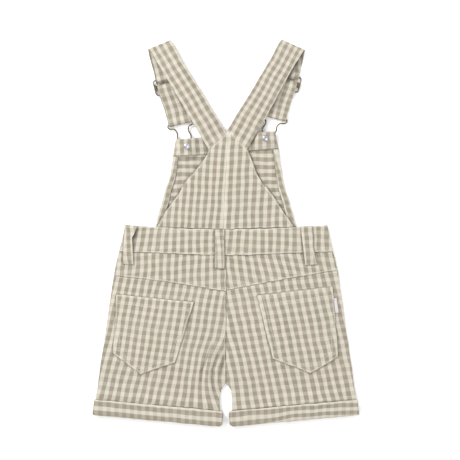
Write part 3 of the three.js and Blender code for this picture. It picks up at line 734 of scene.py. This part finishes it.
def strap_painted_light(side):
    """Painted shade where the upper run and the fold shade the lower run, along the lower run's outer edge
    on the left all the way down, and darkest across the slot where the lower run dips into the slider; the
    upper run is painted pale beside the back panel."""
    place = strap_place(side)
    fold, _, _, outward, _ = fold_axes(side)
    upper_half_width = 14.3 * mm
    slot = strap_lines[side]["bars"][0] * mm - slot_above_bar
    to_panel = distance_from(all_round(f"back_panel_{side}"))

    def painted_light_and_wear(co):
        across, along, upper = place(co)
        # painted highlight on the upper run beside the back panel, lightening the seam there
        if upper:
            return 0.35 * swell(to_panel(co) - 0.8 * mm, 1 * mm) if co.y < 150 * mm else 0.0
        # painted shade on the lower run: under the upper run's edge, along its outer edge, inside the fold
        # and across the slot
        beyond_upper = (Vector((co.x, co.y, 0)) - fold).dot(outward) - upper_half_width
        edge_line = swell(across - strap_width / 2, 1.1 * mm)
        from_edge = strap_width / 2 - across
        slot_line = swell(along - slot, 1.3 * mm) * smooth(1.5 * mm, 4 * mm, from_edge)
        if side == "left":
            in_fold = 0.85 * swell(across - 13 * mm, 3 * mm) * (1 - smooth(5 * mm, 12 * mm, along))
            crease = 0.3 * swell(beyond_upper, 1.4 * mm) * smooth(slot, slot + 8 * mm, along)
            return -max(0.65 * edge_line, in_fold, crease, slot_line)
        in_fold = 0.85 * (1 - smooth(6 * mm, 26 * mm, along))
        above_slot = smooth(14 * mm, 26 * mm, along) * (1 - smooth(slot - 1 * mm, slot + 3 * mm, along))
        below_slot = smooth(slot + 12 * mm, slot + 22 * mm, along)
        crease = swell(beyond_upper, 1.9 * mm) * max(above_slot, 0.75 * below_slot)
        edge_shade = 0.3 * edge_line * (1 - smooth(slot - 8 * mm, slot, along))
        return -max(in_fold, 0.8 * crease, edge_shade, slot_line)
    return painted_light_and_wear


def strap_relief(side):
    """A trough under each edge row, a slack ripple, and on the left a pucker above the hook."""
    place = strap_place(side)
    row = strap_width / 2 - 2.2 * mm
    pucker_at = Vector((-56.3, 161.3)) * mm

    def relief(co):
        across, _, _ = place(co)
        troughs = swell(abs(across) - row, 1.0 * mm)
        ripple = noise.noise(Vector((co.x, co.y, co.z * 8)) * 60)
        dent = 0.0
        if side == "left" and co.z < 5 * mm:
            off = Vector((co.x, co.y)) - pucker_at
            dent = swell(off.x + 0.25 * off.y, 1.6 * mm) * swell(off.y, 6 * mm)
        return -0.16 * mm * troughs + 0.14 * mm * ripple - 0.9 * mm * dent
    return relief


for side in sides:
    strap = cloth_shell(
        f"strap_{side}", strap_grain(side), [strap_relief(side)], [strap_painted_light(side)], strap_reshape(side),
        roll=0.4 * mm, evened=3,
    )

# The back legs are cut flared, a little full over the seat, with drag folds running down from the
# crotch and small dimples over the cuffs, where the turned-up cloth holds the hem in.
crease_table = {
    # from x, from y, to x, to y, half width, rise, all in mm
    "left": [
        (-10.6, -153, -17.2, -173, 1.4, -1.2), (-17.2, -173, -18.6, -183, 1.4, -1.1),
        (-18.6, -183, -16.8, -197, 1.4, -0.8), (-17.2, -141, -24.2, -157, 1.4, -0.8),
        (-24.2, -157, -30.7, -173, 1.4, -0.9), (-30.7, -173, -32.6, -188, 1.4, -0.7),
        (-12, -142, -21, -163, 3.0, 1.5), (-21, -163, -25.4, -186, 3.0, 1.4),
        (-25, -186, -22, -206, 2.6, 0.9), (-6, -149, -11, -172, 2.6, 1.9),
        (-11, -172, -12.6, -190, 2.2, 1.3), (-12.6, -190, -10.5, -204, 2.0, 0.9),
        (-3.6, -158, -5.4, -178, 1.4, -1.1), (-38, -164, -45, -194, 4.5, 0.9),
        (-55, -207, -50, -221, 4, 0.8), (-77, -209, -73, -224, 4, 0.7),
        (-101, -206, -97, -222, 4.5, 0.8), (-127, -206, -124, -220, 4, 0.6),
        (-146, -204, -143, -219, 3.5, 0.6), (-34, -206, -31, -222, 3.5, 0.6),
        (-63, -150, -80, -186, 9, 0.5), (-118, -175, -122, -198, 8, 0.4),
    ],
    "right": [
        (5, -158, 12, -186, 3.4, 0.8), (23, -164, 31, -192, 4.5, 0.6),
        (60, -209, 57, -221, 4, 0.6), (86, -206, 83, -222, 4, 0.7), (112, -205, 108, -219, 4, 0.5),
        (137, -203, 134, -217, 4, 0.6), (28, -211, 26, -226, 3.5, 0.5), (84, -150, 100, -188, 9, 0.4),
        (126, -170, 131, -196, 8, 0.4),
    ],
}


def soft_drape(co):
    """The slow unevenness that all the upper layers share."""
    slow = noise.noise(Vector((co.x, co.y, 0)) * 24) * 0.36 * mm
    quick = noise.noise(Vector((co.x * 62, co.y * 48, 2.7))) * 0.13 * mm
    return slow + quick


def drag_folds(side, troughs_only=False):
    """The creases of one leg: their relief, or the painted shade in their troughs."""
    rows = [
        (Vector((from_x, from_y)) * mm, Vector((to_x, to_y)) * mm, half_width * mm, rise * mm)
        for from_x, from_y, to_x, to_y, half_width, rise in crease_table[side]
    ]
    trough_shade = -0.5
    if troughs_only:
        rows = [(start, end, half_width, trough_shade) for start, end, half_width, rise in rows if rise < 0]

    def relief(co):
        total = 0.0
        point = Vector((co.x, co.y))
        for start, end, half_width, rise in rows:
            run = end - start
            t = (point - start).dot(run) / run.length_squared
            if -0.3 < t < 1.3:
                away = (point - start - run * t).length
                total += rise * swell(away, half_width) * smooth(-0.3, 0.15, t) * (1 - smooth(0.85, 1.3, t))
        return total
    return relief


for side in sides:
    name = f"back_leg_{side}"
    seat_seam = stretches(name, lambda middle, outward: abs(middle.x) < 1.5 * mm and middle.y > -188 * mm)
    pocket_side = stretches(f"pocket_back_{side}", lambda middle, outward: outward.x * sides[side] > 0.8)
    beside_pocket = distance_from(pocket_side)
    leg_creases = [
        soft_drape, drag_folds(side), sewn_edge(seat_seam, [hem_row]),
        lambda co, distance=beside_pocket: 0.4 * mm * swell(distance(co), 3 * mm),
    ]
    # painted shade on the leg round the pockets, the yokes and the cuffs, and in the crease troughs
    leg_painted_shade = [
        light_and_wear_beside(all_round(f"pocket_back_{side}"), -0.6), light_and_wear_beside(all_round(f"yoke_{side}"), -0.45),
        light_and_wear_beside(all_round(f"cuff_back_{side}"), -0.95, 1.3 * mm), drag_folds(side, troughs_only=True),
    ]
    back_leg = cloth_shell(name, leg_grain(side), leg_creases, leg_painted_shade)
    seat_stitches = []
    if side == "left":
        seat_stitches = [stitches("seat_stitches_left", name, seat_seam, [hem_row])]

# The yokes make a shallow V across the seat. Each is stitched down along its lower edge, the left
# one on nearly straight grain and the right one with its stripes slanting outwards.
yoke_repeat = {"left": (9.85 * mm, 10.6 * mm), "right": (10.3 * mm, 10.6 * mm)}
yoke_dark_x = {"left": -53.7 * mm, "right": 8.4 * mm}
yoke_dark_y = {"left": -43.4 * mm, "right": -43.9 * mm}
yoke_slope = {"left": -0.08, "right": -0.12}
yoke_level = -42 * mm


def yoke_lean(side):
    def lean(co):
        reach = abs(co.x)
        degrees = 0.5 + 28 * reach if side == "left" else 8 + 6 * smooth(10 * mm, 45 * mm, reach)
        return sides[side] * (yoke_level - co.y) * math.tan(math.radians(degrees))
    return lean


for side in sides:
    name = f"yoke_{side}"
    lower_edge = stretches(name, lambda middle, outward: outward.y < -0.8)
    centre_edge = stretches(name, lambda middle, outward: abs(middle.x) < 1.5 * mm)
    grain = cut_of(
        yoke_dark_x[side], yoke_dark_y[side], yoke_lean(side), yoke_slope[side], yoke_repeat[side]
    )
    on_top = all_round("waistband_back", *(f"belt_loop_{place}" for place in ("left", "centre", "right")))
    yoke_creases = [soft_drape, sewn_edge(lower_edge + centre_edge, [hem_row])]
    # painted shade under the waistband and the belt loops, and the lower edge's ridge painted pale as rubbed
    # cloth and painted highlight
    yoke_light_and_wear = [light_and_wear_beside(on_top, -0.8), light_and_wear_beside(lower_edge, 0.5, row=0.9 * mm)]
    yoke = cloth_shell(name, grain, yoke_creases, yoke_light_and_wear)
    yoke_stitches = stitches(f"yoke_stitches_{side}", name, lower_edge, [hem_row])

# The back waistband, a straight strip folded double and stitched along both edges, with a ridge over its
# lower seam painted bright as rubbed cloth and painted highlight. It leans where the cloth was eased in.


def band_lean(co):
    left_part = 0.14 * swell(co.x + 105 * mm, 34 * mm)
    by_the_loop = 0.12 * swell(co.x - 10 * mm, 20 * mm)
    return (co.y + 11 * mm) * (left_part + by_the_loop)


band_edges = stretches("waistband_back", lambda middle, outward: abs(outward.y) > 0.8)
# painted shade on the waistband round the belt loops
shade_by_loops = light_and_wear_beside(all_round(*(f"belt_loop_{place}" for place in ("left", "centre", "right"))), -0.75)


# painted shadow beside the raised right edge of the left belt loop's twist
def twist_shade(co):
    return -0.9 * swell(co.x + 117.4 * mm, 2.6 * mm) * swell(co.y - 1.5 * mm, 8 * mm)


waistband_back = cloth_shell(
    "waistband_back", cut_of(-15 * mm, -9.2 * mm, band_lean, -0.035, band_repeat),
    [soft_drape, sewn_edge(band_edges, [hem_row])],
    [shade_by_loops, twist_shade, light_and_wear_beside(band_edges, 0.75, row=0.8 * mm)],
)
band_stitches = stitches("waistband_stitches", "waistband_back", band_edges, [hem_row])

# The belt loops are narrow folded strips with their raw edges inside, sewn down at both ends and
# slack between. The left one is twisted near its top, so its right edge stands up.
loop_slack = {"left": 1.3 * mm, "centre": 0.9 * mm, "right": 1.2 * mm}
loop_dark_x = {"left": -114 * mm, "centre": -4.6 * mm, "right": 103 * mm}


def loop_relief(name):
    low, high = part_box(f"belt_loop_{name}")
    middle_y = (low[1] + high[1]) / 2
    half_run = (high[1] - low[1]) / 2

    def relief(co):
        t = (co.y - middle_y) / half_run
        arch = loop_slack[name] * max(1 - t * t, 0.0)
        twist = 0.0
        if name == "left":
            twist = 1.6 * mm * smooth(-0.1, 0.75, t) * smooth(-122 * mm, -115 * mm, co.x)
        return arch + twist
    return relief


for name in loop_slack:
    node = f"belt_loop_{name}"
    long_edges = stretches(node, lambda middle, outward: abs(outward.x) > 0.8)
    loop_grain = cut_of(loop_dark_x[name], -15 * mm, leaning(4, -15 * mm))
    loop_shape = [soft_drape, loop_relief(name), sewn_edge(long_edges, [hem_row], 0.14 * mm, 0.1 * mm)]
    # the loops' long edges painted pale as rubbed cloth and painted highlight
    loop_ridge_light_and_wear = [light_and_wear_beside(long_edges, 0.5, row=1.2 * mm)]
    loop = cloth_shell(node, loop_grain, loop_shape, loop_ridge_light_and_wear, cell=1.3 * mm)
    loop_stitches = stitches(f"{node}_stitches", node, long_edges, [hem_row])

# The patch pockets have pointed bottoms, a double row of stitches round their sides and point, and
# a hem across the mouth. They are cut on the leg's grain.
pocket_dark_x = {"left": -121.6 * mm, "right": 78.9 * mm}
pocket_dark_y = {"left": -117.3 * mm, "right": -70.7 * mm}
pocket_turn = {"left": 10, "right": 12}
pocket_level = {"left": -114 * mm, "right": -75 * mm}
pocket_repeat = {"left": (10 * mm, 10 * mm), "right": (10.6 * mm, 10.2 * mm)}
pocket_rows = [1.5 * mm, 7.2 * mm]
mouth_row = 11 * mm
for side in sides:
    name = f"pocket_back_{side}"
    sewn_down = stretches(name, lambda middle, outward: outward.y < 0.8)
    mouth = stretches(name, lambda middle, outward: outward.y > 0.8)
    lean = leaning(pocket_turn[side], pocket_level[side], sides[side])
    grain = cut_of(pocket_dark_x[side], pocket_dark_y[side], lean, 0.11, pocket_repeat[side])
    relief = [soft_drape, drag_folds(side), sewn_edge(sewn_down, pocket_rows), sewn_edge(mouth, [mouth_row])]
    # the pockets' sewn edges and mouth hem painted pale as rubbed cloth and painted highlight
    pocket = cloth_shell(name, grain, relief, [light_and_wear_beside(sewn_down + mouth, 0.45, row=0.9 * mm)])
    pocket_stitches = [
        stitches(f"pocket_stitches_{side}", name, sewn_down, pocket_rows),
        stitches(f"pocket_hem_stitches_{side}", name, mouth, [mouth_row]),
    ]

# A small blank tab of white woven tape, folded double and caught in the right pocket's outer edge.
# It stands a little proud of the leg and curls slightly.


def tape_finish():
    finish, tree, shader, place = new_finish("white_woven_tape")
    weave = calculate(tree, "PINGPONG", speckle(tree, place, (30, 6, 1)), 0.5)
    tape_colour = blend_colours(tree, weave, (0.55, 0.53, 0.54), (0.45, 0.43, 0.45))
    link(tree, tape_colour, shader.inputs["Base Color"])
    shader.inputs["Roughness"].default_value = 0.62
    raise_surface(tree, shader, weave, 0.08 * mm)
    return finish


def tab_relief(co):
    return soft_drape(co) + 0.35 * mm * math.sin((co.y + 80 * mm) * 300)


label_tab = cloth_shell("label_tab", cut_of(0.0, 0.0), [tab_relief], cell=1.2 * mm, roll=0.3 * mm)
label_tab.data.materials[0] = tape_finish()

# The upper back is two halves joined down the middle, rising to the peak where the straps are sewn
# on. A row of stitches runs beside the centre seam and along each sloping edge.
panel_dark_x = {"left": -10.3 * mm, "right": 3.9 * mm}
panel_dark_y = {"left": 10.5 * mm, "right": 10.7 * mm}
panel_slope = {"left": 0.02, "right": 0.055}
panel_repeat = {"left": (9.05 * mm, 10 * mm), "right": (10.2 * mm, 10 * mm)}
panel_turn = {"left": -4.5, "right": -2.6}
panel_level = 19 * mm
to_band = distance_from(band_edges)


def panel_seams(side, centre):
    """Draws the panel's foot down to the waistband and its centre edge up to the other half."""
    to_centre = distance_from(centre)

    def reshape(co):
        to_side = sides[side] * 0.12 * mm * swell(to_centre(co), 1.2 * mm)
        down = 0.3 * mm * swell(to_band(co), 1.5 * mm) if co.y < 14 * mm else 0.0
        return co - Vector((to_side, down, 0))
    return reshape


for side in sides:
    name = f"back_panel_{side}"
    centre = stretches(name, lambda middle, outward: abs(middle.x) < 3 * mm and abs(outward.x) > 0.9)
    slopes = stretches(name, lambda middle, outward: outward.x * sides[side] > 0.3)
    lean = leaning(panel_turn[side], panel_level)
    grain = cut_of(panel_dark_x[side], panel_dark_y[side], lean, panel_slope[side], panel_repeat[side])
    # the sloping edges and the centre seam painted pale as rubbed cloth and painted highlight
    panel_ridge_light_and_wear = [light_and_wear_beside(slopes, 0.45, row=1 * mm), light_and_wear_beside(centre, 0.6, 1.2 * mm, row=0.7 * mm)]
    panel_relief = [soft_drape, sewn_edge(centre + slopes, [hem_row])]
    panel = cloth_shell(name, grain, panel_relief, panel_ridge_light_and_wear, panel_seams(side, centre))
    sewn_rows = slopes + (centre if side == "left" else [])
    panel_stitches = stitches(f"panel_stitches_{side}", name, sewn_rows, [hem_row])

# The cuffs are the legs' ends turned out and up, so the wrong side shows, with its stripes running
# round the leg. The right one is turned up askew, so its stripes climb away from the hem and crowd.
hem_outer = (170 * mm, -231 * mm)
hem_inner = (5 * mm, -246 * mm)
cuff_warp_repeat = 10 * mm
cuff_bands = {
    # distance from the middle, height of the lower dark stripe over the hem, and spacing, all in mm
    "left": [(5, 2.6, 12.0), (43, 2.8, 11.3), (99, 3.8, 10.8), (170, 4.2, 11.7)],
    "right": [(5, 2.6, 12.8), (42, 3.2, 12.0), (82, 7.0, 9.0), (140, 6.1, 9.4), (170, 4.0, 10.0)],
}
cuff_slope = (hem_outer[1] - hem_inner[1]) / (hem_outer[0] - hem_inner[0])


def cuff_height(co):
    return co.y - hem_inner[1] - cuff_slope * (abs(co.x) - hem_inner[0])


def from_inner_end(co):
    return ((abs(co.x) - hem_inner[0]) + cuff_slope * cuff_height(co)) / math.hypot(1, cuff_slope)


def cuff_grain(side):
    bands = cuff_bands[side]

    def grain(co):
        reach = min(max(abs(co.x) / mm, bands[0][0]), bands[-1][0])
        start, end = next((a, b) for a, b in zip(bands, bands[1:]) if reach <= b[0])
        t = (reach - start[0]) / (end[0] - start[0])
        dark_height, spacing = (a + (b - a) * t for a, b in zip(start[1:], end[1:]))
        return co.x / cuff_warp_repeat, (cuff_height(co) / mm - dark_height) / spacing
    return grain


def cuff_waves(co):
    return 0.4 * mm * noise.noise(Vector((co.x * 55, 1.3, 0))) * smooth(4 * mm, 8 * mm, co.z)


def rounded_corners(co):
    """Draws the two corners at the inner end of a cuff in to a curve."""
    sign = math.copysign(1, co.x)
    height = cuff_height(co)
    from_end = from_inner_end(co)
    for radius, level, direction in ((4.8 * mm, 0.0, 1), (4.6 * mm, 20 * mm, -1)):
        across = 1 - from_end / radius
        down = 1 - (height - level) * direction / radius
        if 0 < across <= 1.2 and 0 < down <= 1.2:
            shift_in = radius * across * (1 - math.sqrt(max(1 - down * down / 2, 0.0)))
            shift_up = radius * down * (1 - math.sqrt(max(1 - across * across / 2, 0.0))) * direction
            return Vector((co.x + sign * shift_in, co.y + shift_up, co.z))
    return co


# painted shade along the cuffs' rounded inner ends
def end_shade(co):
    return -0.6 * swell(from_inner_end(co), 1.5 * mm)


for side in sides:
    for wall in ("front", "back"):
        creases = [cuff_waves] if wall == "back" else []
        top_edge = stretches(f"cuff_back_{side}", lambda middle, outward: outward.y > 0.8)
        # the cuff's top edge painted as a pale line, rubbed cloth and painted highlight
        cuff_edge_light_and_wear = light_and_wear_beside(top_edge, 0.6, 0.8 * mm, row=0.6 * mm)
        cuff = cloth_shell(
            f"cuff_{wall}_{side}", cuff_grain(side), creases, [cuff_edge_light_and_wear, end_shade], rounded_corners,
            wrong_side=True,
        )
